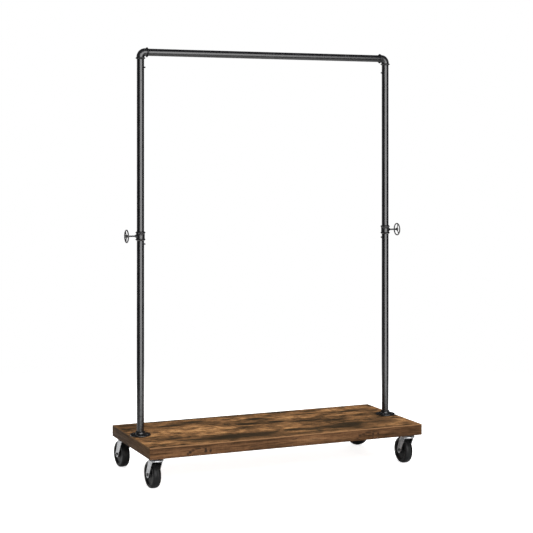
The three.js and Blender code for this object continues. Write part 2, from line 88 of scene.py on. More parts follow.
def end_finish(finish, color, roughness, bump=None, depth=0.1 * MM, **shader_settings):
    """Joins colour, roughness and surface height to the shader."""
    inputs = {"Base Color": color, "Roughness": roughness}
    if bump is not None:
        relief = add_node(finish, "Bump", {"Height": bump, "Distance": depth, "Strength": 1.0})
        inputs["Normal"] = relief.outputs["Normal"]
    for name, value in shader_settings.items():
        inputs[name.replace("_", " ")] = value
    shader = add_node(finish, "BsdfPrincipled", inputs)
    add_node(finish, "OutputMaterial", {"Surface": shader.outputs["BSDF"]})
    return finish


def stretched(finish, coords, scale, turn=0.0):
    """The coordinates scaled for each direction, after a turn about Z."""
    if turn:
        coords = add_node(finish, "Mapping", {"Vector": coords, "Rotation": (0, 0, turn)}).outputs[0]
    return add_node(finish, "Mapping", {"Vector": coords, "Scale": scale}).outputs[0]


def noise(finish, coords, scale=1.0, detail=4.0, roughness=0.55, distortion=0.0):
    inputs = {"Vector": coords, "Scale": scale, "Detail": detail, "Roughness": roughness,
              "Distortion": distortion}
    return add_node(finish, "TexNoise", inputs).outputs["Fac"]


def calc(finish, operation, first, second=0.0, third=0.0):
    return add_node(finish, "Math", {0: first, 1: second, 2: third}, operation=operation).outputs[0]


def spread(finish, value, low, high, to_low=0.0, to_high=1.0):
    """Maps the range from low to high smoothly onto another one, without going past its ends."""
    inputs = {"Value": value, "From Min": low, "From Max": high, "To Min": to_low, "To Max": to_high}
    return add_node(finish, "MapRange", inputs, interpolation_type="SMOOTHSTEP").outputs["Result"]


def blended(finish, share, first, second):
    inputs = {0: share, 6: first, 7: second}
    return add_node(finish, "Mix", inputs, data_type="RGBA").outputs[2]


def ramp(finish, value, stops):
    made = add_node(finish, "ValToRGB", {"Fac": value})
    points = made.color_ramp.elements
    while len(points) < len(stops):
        points.new(0.5)
    for point, (place, color) in zip(points, stops):
        point.position = place
        point.color = (*color, 1)
    return made.outputs["Color"]


def marked(finish, coords, marks, centre, across="y"):
    """How strongly soft oval marks cover each place: (x, across, half length, half width, strength)."""
    field = 0.0
    for along, aside, length, width, strength in marks:
        size = Vector((1 / (length * MM), 0, 0))
        shift = Vector((-(centre.x + along * MM) * size.x, 0, 0))
        setattr(size, across, 1 / (width * MM))
        setattr(shift, across, -(getattr(centre, across) + aside * MM) / (width * MM))
        oval = add_node(finish, "Mapping", {"Vector": coords, "Scale": size, "Location": shift})
        away = add_node(finish, "VectorMath", {0: oval.outputs[0]}, operation="LENGTH")
        mark = spread(finish, away.outputs["Value"], 0.3, 1.4, strength, 0.0)
        field = calc(finish, "MAXIMUM", field, mark)
    return field


def summed(finish, start, *parts):
    """The start value plus each value times its weight."""
    for value, weight in parts:
        start = calc(finish, "MULTIPLY_ADD", value, weight, start)
    return start


def rustic_wood(name, stops, centre, charred, pale, char, across="y", turn=0.0, contrast=1.0,
                stray_from=0.62, wander=50, top_edge=None, streak=(20, 40)):
    """Rustic print: streaked boards, pale patches, charred marks, fine pores and saw marks, and, when
    top_edge is given, a painted highlight: a pale band just under that height. Streak says how many
    streaks there are to the metre, along the grain and over it."""
    finish, plain = start_finish(name)
    warp = noise(finish, stretched(finish, plain, (9, 16, 16)), detail=3)
    offset = calc(finish, "MULTIPLY", calc(finish, "SUBTRACT", warp, 0.5), wander * MM)
    shift = add_node(finish, "CombineXYZ", {0: offset, 1: calc(finish, "MULTIPLY", offset, 0.45)})
    coords = add_node(finish, "VectorMath", {0: plain, 1: shift.outputs[0]}, operation="ADD").outputs[0]
    slow = noise(finish, stretched(finish, coords, (3.2, 10, 10), turn), distortion=0.6)
    along, over = streak
    boards = noise(finish, stretched(finish, coords, (along, over, over), turn), detail=7,
                   roughness=0.66)
    fibres = noise(finish, stretched(finish, plain, (16, 120, 120), turn), detail=7, roughness=0.75)
    hairs = noise(finish, stretched(finish, plain, (40, 1500, 1500), turn), detail=3)
    saw = noise(finish, stretched(finish, plain, (260, 9, 9), turn), detail=3)
    weights = [weight * contrast for weight in (0.9, 1.7, 1.6, 0.3, 0.2)]
    tone = summed(finish, 0.5 - sum(weights) / 2, *zip((slow, boards, fibres, hairs, saw), weights))
    if pale:
        tone = summed(finish, tone, (marked(finish, coords, pale, centre, across), 0.16))
    color = ramp(finish, tone, stops)
    streaks = noise(finish, stretched(finish, coords, (11, 60, 60), turn), detail=5, distortion=0.4)
    burnt = spread(finish, streaks, stray_from, stray_from + 0.16, 0.0, 0.6)
    if charred:
        burnt = calc(finish, "MAXIMUM", burnt, marked(finish, coords, charred, centre, across))
    ragged = summed(finish, -2.7, (boards, 3.0), (fibres, 2.4))
    burnt = spread(finish, calc(finish, "ADD", burnt, ragged), 0.28, 0.80, 0.0, 0.95)
    color = blended(finish, burnt, color, (*char, 1))
    pores = spread(finish, hairs, 0.30, 0.42, 0.45, 0.0)
    color = blended(finish, pores, color, (*(0.8 * channel for channel in char), 1))
    # A pale band just under top_edge, in the print's palest tone: painted highlight where the rounded top
    # edge catches the light.
    if top_edge is not None:
        height = add_node(finish, "SeparateXYZ", {0: plain}).outputs["Z"]
        painted_edge_highlight = spread(finish, height, top_edge - 3.6 * MM, top_edge - 1.6 * MM, 0.0, 0.9)
        color = blended(finish, painted_edge_highlight, color, (*stops[-1][1], 1))
    gloss = spread(finish, fibres, 0.3, 0.7, 0.62, 0.48)
    relief = summed(finish, 0.0, (fibres, 1.0), (hairs, 0.3), (saw, 0.2))
    return end_finish(finish, color, gloss, relief, 0.10 * MM, Specular_IOR_Level=0.03)


deck_low, deck_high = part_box("deck_upper_panel")
deck_centre = (deck_low + deck_high) / 2
TOP_TONES = [
    (0.16, (0.024, 0.015, 0.007)),
    (0.30, (0.052, 0.031, 0.015)),
    (0.42, (0.088, 0.047, 0.022)),
    (0.52, (0.145, 0.073, 0.031)),
    (0.62, (0.215, 0.105, 0.042)),
    (0.72, (0.300, 0.152, 0.061)),
    (0.86, (0.480, 0.261, 0.105)),
]
CHARRED = [
    (-150, 222, 440, 14, 0.90), (-251, 154, 70, 24, 0.80), (-345, 122, 84, 18, 0.80),
    (0, 121, 52, 24, 0.85), (-74, 38, 54, 20, 1.0), (-90, -12, 24, 12, 0.95),
    (55, 38, 50, 18, 1.0), (192, 14, 94, 16, 1.0), (275, -16, 60, 22, 0.95),
    (-170, -150, 230, 50, 0.82), (71, -125, 80, 22, 0.95), (210, -140, 160, 40, 0.72),
    (300, -110, 80, 34, 0.75), (393, 121, 96, 15, 0.95), (205, 133, 78, 14, 0.85),
    (134, 204, 70, 18, 0.80), (-361, -146, 80, 16, 0.85), (-416, -105, 40, 24, 0.65),
    (432, -121, 70, 40, 0.60), (-541, 129, 10, 18, 0.90), (60, -190, 300, 26, 0.55),
    (-500, 190, 60, 22, 0.70), (505, -30, 40, 16, 0.70), (-60, 196, 90, 14, 0.60),
]
PALE = [
    (448, 186, 120, 46, 1.0), (79, -81, 80, 24, 1.0), (157, 81, 90, 22, 0.8),
    (354, 73, 100, 26, 0.8), (-330, 30, 170, 70, 0.5), (-200, -60, 200, 30, 0.7),
]
CHAR = (0.021, 0.016, 0.010)
top_wood = rustic_wood("rustic_laminate", TOP_TONES, deck_centre, CHARRED, PALE, CHAR)
for node in ("deck_upper_panel", "deck_lower_panel"):
    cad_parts[node].data.materials.clear()
    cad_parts[node].data.materials.append(top_wood)

# ---------------------------------------------------------------------------------------------
# Edging: four strips of the same print, 1.5 mm thick, glued round the deck and scraped to a small
# radius along every edge. The front and back strips run the whole length and cover the side ones.

LONG_TONES = [
    (0.16, (0.023, 0.012, 0.005)),
    (0.32, (0.040, 0.020, 0.009)),
    (0.46, (0.068, 0.033, 0.015)),
    (0.56, (0.091, 0.044, 0.020)),
    (0.70, (0.127, 0.063, 0.028)),
    (0.88, (0.201, 0.106, 0.049)),
]
# The end strips take darker, greyer tones and char than the front and back strips: painted shade for the
# dimmer light on the deck's ends.
SHADED_END_TONES = [
    (0.16, (0.021, 0.011, 0.005)),
    (0.40, (0.048, 0.025, 0.010)),
    (0.60, (0.074, 0.040, 0.017)),
    (0.88, (0.123, 0.070, 0.031)),
]
ARCHES = [
    (-339, -4, 6, 14, 0.68), (-321, -5, 6, 13, 0.68), (-342, 8, 20, 4, 0.54), (-368, 6, 16, 4, 0.54),
    (-388, 1, 10, 5, 0.54), (-399, -5, 7, 8, 0.54), (-408, -14, 7, 8, 0.54),
    (338, -4, 6, 14, 0.68), (360, -5, 6, 13, 0.68), (350, 8, 22, 4, 0.54), (320, 7, 16, 4, 0.54),
    (298, 2, 11, 5, 0.54), (283, -4, 8, 8, 0.54), (271, -14, 8, 8, 0.54),
    (-135, -4, 40, 10, 0.37), (500, 0, 80, 40, 0.37), (455, -14, 70, 7, 0.48), (-20, 12, 70, 6, 0.34),
    (150, -12, 80, 6, 0.34), (-250, 14, 70, 5, 0.34), (0, -18, 540, 3, 0.34),
]
LIGHT_GRAIN = [(-480, 3, 85, 4, 1.2), (-500, -10, 60, 5, 0.8), (60, 2, 120, 5, 0.5)]
LONG_CHAR = (0.018, 0.011, 0.007)
SHADED_END_CHAR = (0.014, 0.010, 0.006)
strip_middle = sum(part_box("edge_band_front"), Vector()) / 2
long_edging = rustic_wood("edging_along", LONG_TONES, strip_middle, ARCHES, LIGHT_GRAIN, LONG_CHAR,
                          across="z", contrast=0.7, stray_from=0.66, wander=14,
                          top_edge=deck_high.z, streak=(6, 120))
shaded_end_edging = rustic_wood("edging_across_shaded", SHADED_END_TONES, deck_centre, [], [], SHADED_END_CHAR,
                         turn=math.pi / 2, contrast=0.6, stray_from=0.66, wander=14,
                         top_edge=deck_high.z, streak=(6, 120))


def fresh():
    """Leaves the whole scene unselected before a new piece."""
    bpy.ops.object.select_all(action="DESELECT")


def only(piece):
    """Makes the piece the one that operators act on."""
    fresh()
    piece.select_set(True)
    bpy.context.view_layer.objects.active = piece
    return piece


def apply_modifier(piece, kind, **settings):
    only(piece)
    made = piece.modifiers.new(kind.lower(), kind)
    for name, value in settings.items():
        setattr(made, name, value)
    bpy.ops.object.modifier_apply(modifier=made.name)


def smooth(piece, angle=35):
    only(piece)
    bpy.ops.object.shade_smooth_by_angle(angle=math.radians(angle))


def finished(piece, name, body, slot, finish, *nodes):
    """Names a piece, gives it its finish and body, and hides the CAD nodes it stands for."""
    piece.name = piece.data.name = name
    piece.data.materials.clear()
    piece.data.materials.append(finish)
    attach(piece, body)
    if nodes:
        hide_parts(*nodes)
    return piece


def settle(piece, place=(0, 0, 0), turn=(0, 0, 0)):
    """Moves and turns a piece, and puts its place into its mesh."""
    only(piece)
    piece.location = place
    piece.rotation_euler = turn
    bpy.ops.object.transform_apply(location=True, rotation=True, scale=True)
    return piece


def bevel_edges(piece, chosen, radius, segments):
    """Rounds the edges that are chosen by the places of their two ends."""
    for edge in piece.data.edges:
        edge.select = chosen(*(piece.data.vertices[i].co for i in edge.vertices))
    for group in (piece.data.vertices, piece.data.polygons):
        for part in group:
            part.select = False
    bpy.context.tool_settings.mesh_select_mode = (False, True, False)
    bpy.ops.object.mode_set(mode="EDIT")
    bpy.ops.mesh.bevel(offset=radius, segments=segments, affect="EDGES")
    bpy.ops.object.mode_set(mode="OBJECT")


EDGE_RADIUS = 0.8 * MM
FACING_OUT = {"front": (0, -1, 0), "back": (0, 1, 0), "left": (-1, 0, 0), "right": (1, 0, 0)}
for end in FACING_OUT:
    low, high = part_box("edge_band_" + end)
    fresh()
    bpy.ops.mesh.primitive_cube_add(size=1, location=(low + high) / 2)
    strip = bpy.context.object
    strip.scale = high - low
    settle(strip, strip.location)
    centre, outward = (low + high) / 2, Vector(FACING_OUT[end])
    bevel_edges(strip, lambda a, b: ((a + b) / 2 - centre).dot(outward) > EDGE_RADIUS / 2,
                EDGE_RADIUS, 4)
    smooth(strip)
    finish = long_edging if end in ("front", "back") else shaded_end_edging
    finished(strip, "edging_" + end, "rack", "wood_edging", finish, "edge_band_" + end)

# ---------------------------------------------------------------------------------------------
# Floor flanges: malleable iron castings, painted black. Each has a round plate with four screw
# holes and a short neck round the pipe, with the soft edges and fine grain of a sand casting.

PIPE_RADIUS = 13.5
SLIP_BORE = 13.8
FLANGE_RADIUS = 38.5
FLANGE_HEIGHT = 16
FLANGE_PLATE = 4.9
SCREW_CIRCLE = 28


def turned(outline, facets=64):
    """A piece turned about the Z axis from an outline of (radius, height) in millimetres."""
    if outline[0][0] > 0 or outline[-1][0] > 0:
        outline = [*outline, outline[0]]
    fresh()
    bpy.ops.mesh.primitive_plane_add(size=MM)
    piece = bpy.context.object
    bpy.ops.object.mode_set(mode="EDIT")
    bpy.ops.mesh.select_mode(type="VERT")
    bpy.ops.mesh.select_all(action="SELECT")
    bpy.ops.mesh.merge(type="CENTER")
    radius, height = outline[0]
    bpy.ops.transform.translate(value=(radius * MM, 0, height * MM))
    for next_radius, next_height in outline[1:]:
        step = ((next_radius - radius) * MM, 0, (next_height - height) * MM)
        bpy.ops.mesh.extrude_vertices_move(TRANSFORM_OT_translate={"value": step})
        radius, height = next_radius, next_height
    bpy.ops.mesh.select_all(action="SELECT")
    bpy.ops.mesh.spin(steps=facets, angle=math.tau, center=(0, 0, 0), axis=(0, 0, 1))
    bpy.ops.mesh.select_all(action="SELECT")
    bpy.ops.mesh.remove_doubles(threshold=0.002 * MM)
    bpy.ops.mesh.normals_make_consistent(inside=False)
    bpy.ops.object.mode_set(mode="OBJECT")
    return piece


def arc(centre, radius, first, last, points=6):
    """Points of an arc for an outline, its angles in degrees from the radial direction."""
    turns = [math.radians(first + (last - first) * i / (points - 1)) for i in range(points)]
    return [(centre[0] + radius * math.cos(t), centre[1] + radius * math.sin(t)) for t in turns]


def soften(piece, width, segments=3, angle=30):
    """Rounds every edge that is sharper than the angle."""
    apply_modifier(piece, "BEVEL", width=width * MM, segments=segments, limit_method="ANGLE",
                   angle_limit=math.radians(angle), use_clamp_overlap=True)


def combine(piece, other, operation):
    """Joins the other piece to the first, or cuts it out, and removes it."""
    apply_modifier(piece, "BOOLEAN", object=other, operation=operation, solver="EXACT")
    bpy.data.objects.remove(other)
    return piece


def copy_of(piece, place=(0, 0, 0), turn=(0, 0, 0)):
    made = piece.copy()
    made.data = piece.data.copy()
    bpy.context.scene.collection.objects.link(made)
    return settle(made, place, turn)


def axis_of(node):
    """The foot of an upright piece: the middle of its box, at its lowest point."""
    low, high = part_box(node)
    return Vector(((low.x + high.x) / 2, (low.y + high.y) / 2, low.z))


def black_paint(name, base, roughness, grain_size, grain_depth, worn=0.25):
    """Black paint over iron or steel: fine grain, a little dust and slightly uneven gloss."""
    finish, coords = start_finish(name)
    grain = noise(finish, coords, 1 / (grain_size * MM), detail=3)
    cloud = noise(finish, coords, 25, detail=3)
    patch = noise(finish, coords, 420, detail=5, roughness=0.7)
    dusty = tuple(channel * 1.5 + 0.002 for channel in base)
    color = blended(finish, spread(finish, cloud, 0.40, 0.75), (*base, 1), (*dusty, 1))
    scuffs = calc(finish, "MULTIPLY", spread(finish, patch, 0.66, 0.82), worn)
    color = blended(finish, scuffs, color, (0.060, 0.058, 0.056, 1))
    gloss = spread(finish, cloud, 0.25, 0.75, roughness - 0.02, roughness + 0.03)
    return end_finish(finish, color, gloss, grain, grain_depth * MM, Specular_IOR_Level=0.65)


cast_black = black_paint("cast_black", (0.0050, 0.0050, 0.0055), 0.27, 0.9, 0.012)

flange = turned([
    (SLIP_BORE, 0),
    (FLANGE_RADIUS - 0.8, 0),
    *arc((FLANGE_RADIUS - 1.0, 1.0), 1.0, -90, 0, 4),
    *arc((FLANGE_RADIUS - 1.6, FLANGE_PLATE - 1.6), 1.6, 0, 90, 5),
    (23.4, FLANGE_PLATE),
    *arc((22.9, FLANGE_PLATE + 5.4), 5.4, -90, -175, 7),
    (17.4, 12.4),
    *arc((17.1, 13.7), 1.1, -60, 70, 5),
    *arc((15.6, FLANGE_HEIGHT - 1.1), 1.1, 30, 90, 4),
    (SLIP_BORE + 0.4, FLANGE_HEIGHT),
    (SLIP_BORE, FLANGE_HEIGHT - 0.4),
], 72)
screw_places = [(SCREW_CIRCLE * math.sqrt(0.5) * sx, SCREW_CIRCLE * math.sqrt(0.5) * sy)
                for sx, sy in ((-1, -1), (1, -1), (1, 1), (-1, 1))]
for x, y in screw_places:
    fresh()
    bpy.ops.mesh.primitive_cylinder_add(vertices=24, radius=2.4 * MM, depth=30 * MM,
                                        location=(x * MM, y * MM, 0))
    combine(flange, bpy.context.object, "DIFFERENCE")
soften(flange, 0.25, 2, 40)
smooth(flange)
for side in ("left", "right"):
    node = "floor_flange_" + side
    finished(copy_of(flange, axis_of(node)), "flange_casting_" + side, "rack", "black_casting",
             cast_black, node)
bpy.data.objects.remove(flange)

# ---------------------------------------------------------------------------------------------
# Flange screws: pan-head wood screws with a cross recess, in black zinc, driven through the
# flange into the deck.

black_zinc = black_paint("black_zinc", (0.016, 0.016, 0.018), 0.26, 0.5, 0.02, 0.5)


def cross_recess(head, top, reach, width, depth):
    """Cuts a tapered cross into the top of a screw head that stands along Z."""
    for turn in (0, math.pi / 2):
        fresh()
        bpy.ops.mesh.primitive_cube_add(size=2 * MM)
        cutter = bpy.context.object
        for corner in cutter.data.vertices:
            above = corner.co.z > 0
            corner.co.x = math.copysign((reach if above else 0.45 * reach) * MM, corner.co.x)
            corner.co.y = math.copysign((width if above else 0.7 * width) / 2 * MM, corner.co.y)
            corner.co.z = (top + 0.5 if above else top - depth) * MM
        settle(cutter, turn=(0, 0, turn))
        combine(head, cutter, "DIFFERENCE")


HEAD_RADIUS = 4.4
HEAD_HEIGHT = 2.4
SHANK_RADIUS = 2.0
SHANK_LENGTH = 20
threads = []
depth = -SHANK_LENGTH + 3
while depth < -9:
    threads += [(1.45, depth), (SHANK_RADIUS, depth + 0.9), (1.45, depth + 1.1)]
    depth += 1.8
wood_screw = turned([
    (0, -SHANK_LENGTH),
    *threads,
    (SHANK_RADIUS, -8),
    (SHANK_RADIUS, 0),
    (HEAD_RADIUS - 0.2, 0),
    (HEAD_RADIUS, 0.25),
    (HEAD_RADIUS, 0.6),
    *arc((HEAD_RADIUS - 1.7, 0.7), 1.7, 5, 80, 5),
    (0, HEAD_HEIGHT),
], 32)
cross_recess(wood_screw, HEAD_HEIGHT, 2.3, 0.95, 1.3)
smooth(wood_screw, 40)
driven_to = {"left": (12, 50, 77, 31), "right": (66, 24, 5, 48)}
for side in ("left", "right"):
    for number, angle in enumerate(driven_to[side], 1):
        node = f"flange_screw_{side}_{number}"
        seat = axis_of(node) + Vector((0, 0, (SHANK_LENGTH - 0.45) * MM))
        driven = copy_of(wood_screw, seat, (0, 0, math.radians(angle)))
        finished(driven, f"wood_screw_{side}_{number}", "rack", "black_screw", black_zinc, node)
bpy.data.objects.remove(wood_screw)

# ---------------------------------------------------------------------------------------------
# Pipes: steel tube with a satin black powder coat. Each upright is a short lower nipple, two long
# tubes and a short upper nipple; the rail is one tube. The nipples' necked ends plug into the
# tubes, and each joint shows as a thin line between two small chamfers.

PIPE_BORE = 12.0
PLUG_RADIUS = 11.7
PLUG_BORE = 10.0
PLUG_LENGTH = 22
JOINT_GAP = 0.3
FIXING_HOLE = 2.2
CHAMFER = 0.45
powder_coat = black_paint("powder_coat", (0.0040, 0.0040, 0.0046), 0.24, 1.4, 0.0015, 0.06)


def pipe(low, high):
    """A length of pipe with chamfered ends, its heights in millimetres."""
    return turned([
        (PIPE_BORE, low + CHAMFER),
        (PIPE_BORE + CHAMFER, low),
        (PIPE_RADIUS - CHAMFER, low),
        (PIPE_RADIUS, low + CHAMFER),
        (PIPE_RADIUS, high - CHAMFER),
        (PIPE_RADIUS - CHAMFER, high),
        (PIPE_BORE + CHAMFER, high),
        (PIPE_BORE, high - CHAMFER),
    ])


def drill(piece, height):
    """A cross hole for a fixing screw, through the wall on the +X side."""
    fresh()
    bpy.ops.mesh.primitive_cylinder_add(
        vertices=24, radius=FIXING_HOLE * MM, depth=PIPE_RADIUS * MM,
        location=(PIPE_RADIUS * MM, 0, height * MM), rotation=(0, math.pi / 2, 0))
    return combine(piece, bpy.context.object, "DIFFERENCE")


NIPPLE_LENGTH = 70.7
nipple_outline = [
    (PLUG_BORE, 0),
    (PIPE_RADIUS - CHAMFER, 0),
    (PIPE_RADIUS, CHAMFER),
    (PIPE_RADIUS, NIPPLE_LENGTH - CHAMFER),
    (PIPE_RADIUS - CHAMFER, NIPPLE_LENGTH),
    (PLUG_RADIUS, NIPPLE_LENGTH),
    (PLUG_RADIUS, NIPPLE_LENGTH + PLUG_LENGTH - 1),
    (PLUG_RADIUS - 0.6, NIPPLE_LENGTH + PLUG_LENGTH + JOINT_GAP),
    (PLUG_BORE, NIPPLE_LENGTH + PLUG_LENGTH + JOINT_GAP),
]
FIXING_DROP = 30
TOP_FIXING_DROP = 56
MOUTH_DOWN = 26
facing = {"left": 0.0, "right": math.pi}
for side in ("left", "right"):
    lower_nipple = turned(nipple_outline)
    smooth(lower_nipple)
    settle(lower_nipple, axis_of("lower_nipple_" + side))
    finished(lower_nipple, "nipple_low_" + side, "rack", "black_pipe", powder_coat,
             "lower_nipple_" + side)

    low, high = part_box("lower_tube_" + side)
    length = (high.z - low.z) / MM
    tube = drill(pipe(0, length), length - FIXING_DROP)
    smooth(tube)
    settle(tube, axis_of("lower_tube_" + side), (0, 0, facing[side]))
    finished(tube, "tube_low_" + side, "rack", "black_pipe", powder_coat, "lower_tube_" + side)

    low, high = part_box("upper_tube_" + side)
    tube = pipe(0, (high.z - low.z) / MM)
    smooth(tube)
    settle(tube, axis_of("upper_tube_" + side))
    finished(tube, "tube_high_" + side, "rack", "black_pipe", powder_coat, "upper_tube_" + side)

    low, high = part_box("upper_nipple_" + side)
    length = (high.z - low.z) / MM
    neck = PLUG_LENGTH + JOINT_GAP
    upper_nipple = turned([
        (PLUG_BORE, 0),
        (PLUG_RADIUS - 0.6, 0),
        (PLUG_RADIUS, 1.3),
        (PLUG_RADIUS, neck),
        (PIPE_RADIUS - CHAMFER, neck),
        (PIPE_RADIUS, neck + CHAMFER),
        (PIPE_RADIUS, length - CHAMFER),
        (PIPE_RADIUS - CHAMFER, length),
        (PIPE_BORE, length),
        (PIPE_BORE, neck + 3.2),
        (PLUG_BORE, neck + 1.5),
    ])
    hole_height = length - (TOP_FIXING_DROP - MOUTH_DOWN - JOINT_GAP)
    drill(upper_nipple, hole_height)
    smooth(upper_nipple)
    settle(upper_nipple, axis_of("upper_nipple_" + side), (0, 0, facing[side]))
    finished(upper_nipple, "nipple_high_" + side, "rack", "black_pipe", powder_coat,
             "upper_nipple_" + side)

    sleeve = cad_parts["inner_sleeve_" + side]
    sleeve.data.materials.clear()
    sleeve.data.materials.append(powder_coat)

low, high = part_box("hanging_rail")
half = (high.x - low.x) / 2 / MM
rail = pipe(-half, half)
smooth(rail)
settle(rail, (low + high) / 2, (0, math.pi / 2, 0))
finished(rail, "clothes_rail", "rack", "black_pipe", powder_coat, "hanging_rail")

# ---------------------------------------------------------------------------------------------
# Tee couplings: cast iron sleeves over the joint of the two tubes, painted black. A raised band
# runs round each mouth, and a tapered boss on the outer side holds the handwheel's screw.

TEE_HALF = 17.5
TEE_BODY = 16.0
BAND_RADIUS = 18.6
BAND_HALF_PITCH = 13
BOSS_REACH = 21


def band(middle, below, above, flare=2.2):
    """Outline points of a raised band round a fitting, with a rounded crest."""
    crest = 1.7
    return [
        (below, middle - crest - flare),
        (below + 0.35 * (BAND_RADIUS - below), middle - crest - 0.35 * flare),
        *arc((BAND_RADIUS - crest, middle), crest, -62, 62, 7),
        (above + 0.35 * (BAND_RADIUS - above), middle + crest + 0.35 * flare),
        (above, middle + crest + flare),
    ]


tee = turned([
    (SLIP_BORE, -TEE_HALF + 0.3),
    (SLIP_BORE + 0.3, -TEE_HALF),
    *band(-BAND_HALF_PITCH, 14.7, TEE_BODY),
    *band(BAND_HALF_PITCH, TEE_BODY, 14.7),
    (SLIP_BORE + 0.3, TEE_HALF),
    (SLIP_BORE, TEE_HALF - 0.3),
], 72)
boss = turned([
    (0, 5),
    (9.5, 5),
    (9.2, 13.5),
    (8.0, 14.9),
    (6.6, 16.4),
    (5.6, 18.4),
    (5.0, BOSS_REACH - 0.8),
    (4.4, BOSS_REACH),
    (0, BOSS_REACH),
], 48)
settle(boss, turn=(0, math.pi / 2, 0))
combine(tee, boss, "UNION")
fresh()
bpy.ops.mesh.primitive_cylinder_add(vertices=72, radius=SLIP_BORE * MM, depth=(2 * TEE_HALF + 4) * MM)
combine(tee, bpy.context.object, "DIFFERENCE")
fresh()
bpy.ops.mesh.primitive_cylinder_add(vertices=32, radius=3.3 * MM, depth=30 * MM,
                                    location=(20 * MM, 0, 0), rotation=(0, math.pi / 2, 0))
combine(tee, bpy.context.object, "DIFFERENCE")
soften(tee, 0.5, 3, 38)
smooth(tee, 40)
outward = {"left": math.pi, "right": 0.0}
for side in ("left", "right"):
    node = "tee_coupling_" + side
    low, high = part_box(node)
    middle = Vector((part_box("lower_tube_" + side)[0].x + PIPE_RADIUS * MM, (low.y + high.y) / 2,
                     (low.z + high.z) / 2))
    coupling = copy_of(tee, middle, (0, 0, outward[side]))
    finished(coupling, "coupling_" + side, "rack", "black_casting", cast_black, node)
bpy.data.objects.remove(tee)

# ---------------------------------------------------------------------------------------------
# Handwheels: small three-spoke castings on a threaded steel stem. Turning one drives its stem
# through the coupling's boss against the tubes. The spokes run into rim and hub with soft fillets.

RIM_RADIUS = 22.6
RIM_SECTION = 2.4
HUB_RADIUS = 5.2
HUB_HALF = 4.5
fresh()
bpy.ops.mesh.primitive_torus_add(major_radius=RIM_RADIUS * MM, minor_radius=RIM_SECTION * MM,
                                 major_segments=96, minor_segments=24)
handwheel = bpy.context.object
hub = turned([
    (0, -HUB_HALF),
    (HUB_RADIUS - 1.0, -HUB_HALF),
    (HUB_RADIUS, -HUB_HALF + 1.0),
    (HUB_RADIUS, 2.2),
    *arc((HUB_RADIUS - 2.3, 2.2), 2.3, 0, 80, 6),
    (0, HUB_HALF),
], 48)
combine(handwheel, hub, "UNION")
for number in range(3):
    spoke = turned([(0, 2), (2.5, 2), (1.9, 8), (1.7, 15), (2.3, RIM_RADIUS), (0, RIM_RADIUS)], 24)
    settle(spoke, turn=(math.pi / 2, 0, math.tau * number / 3))
    combine(handwheel, spoke, "UNION")
apply_modifier(handwheel, "REMESH", mode="VOXEL", voxel_size=0.42 * MM)
apply_modifier(handwheel, "SMOOTH", factor=0.5, iterations=6)
smooth(handwheel, 60)

STEM_RADIUS = 3.0
stem_thread = []
place = 15.0
while place < 50:
    stem_thread += [(STEM_RADIUS - 0.55, place), (STEM_RADIUS, place + 0.42), (STEM_RADIUS, place + 0.58)]
    place += 1.0
stem = turned([(0, 14.1), (2.1, 14.1), (STEM_RADIUS - 0.55, 14.9), *stem_thread,
               (STEM_RADIUS - 0.55, 50.4), (STEM_RADIUS - 0.4, 55.6), (0, 55.6)], 32)
settle(stem, turn=(0, math.pi / 2, 0))
smooth(stem, 25)

SPOKE_LEAN = {"left": 40, "right": 20}
for side in ("left", "right"):
    low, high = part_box("handwheel_" + side)
    centre = (low + high) / 2
    # the wheel lies in the XY plane, its first spoke along -Y; it is stood up to face outwards
    wheel = copy_of(handwheel, turn=(0, 0, math.radians(SPOKE_LEAN[side]) - math.pi / 2))
    settle(wheel, turn=(0, math.pi / 2, 0))
    settle(wheel, centre, (0, 0, outward[side]))
    finished(wheel, "handwheel_casting_" + side, side + "_handwheel", "black_casting", cast_black,
             "handwheel_" + side)
    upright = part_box("lower_tube_" + side)[0].x + PIPE_RADIUS * MM
    rod = copy_of(stem, (upright, centre.y, centre.z), (0, 0, outward[side]))
    finished(rod, "stem_thread_" + side, side + "_handwheel", "black_screw", black_zinc,
             "stem_" + side)
bpy.data.objects.remove(handwheel)
bpy.data.objects.remove(stem)

# ---------------------------------------------------------------------------------------------
# Fixing screws: machine screws with a tall round head, black zinc. One holds the inner sleeve
# below each coupling, and one holds the elbow's spigot in the upper nipple.

FIXING_START = 9.0
FIXING_UNDER = 15.1
FIXING_HEAD = 3.3
FIXING_TOP = FIXING_UNDER + 4.0
fixing_thread = []
place = FIXING_START + 0.3
while place < FIXING_UNDER - 0.7:
    fixing_thread += [(1.5, place), (1.9, place + 0.3)]
    place += 0.6
fixing = turned([
    (0, FIXING_START),
    *fixing_thread,
    (1.9, FIXING_UNDER - 0.2),
    (1.9, FIXING_UNDER),
    (2.6, FIXING_UNDER),
    *arc((FIXING_HEAD - 1.6, FIXING_UNDER + 1.6), 1.6, -60, 0, 4),
    *arc((FIXING_HEAD - 2.0, FIXING_UNDER + 2.0), 2.0, 10, 85, 6),
    (0, FIXING_TOP),
], 32)
cross_recess(fixing, FIXING_TOP, 1.7, 0.8, 1.3)
settle(fixing, turn=(0, math.pi / 2, 0))
smooth(fixing, 40)
for side in ("left", "right"):
    for level in ("lower", "top"):
        node = f"{level}_fixing_screw_{side}"
        low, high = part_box(node)
        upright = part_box("lower_tube_" + side)[0].x + PIPE_RADIUS * MM
        place = (upright, (low.y + high.y) / 2, (low.z + high.z) / 2)
        finished(copy_of(fixing, place, (0, 0, facing[side])), f"fixing_{level}_{side}", "rack",
                 "black_screw", black_zinc, node)
bpy.data.objects.remove(fixing)

# ---------------------------------------------------------------------------------------------
# Elbows: cast iron bends between upright and rail, painted black, with a raised band at each
# mouth. A spigot at each end plugs into the upper nipple and the rail.

BEND_BODY = 14.7
BEND_RADIUS = 18
MOUTH_ALONG = 29
SPIGOT_DOWN = 42
SPIGOT_ALONG = 30


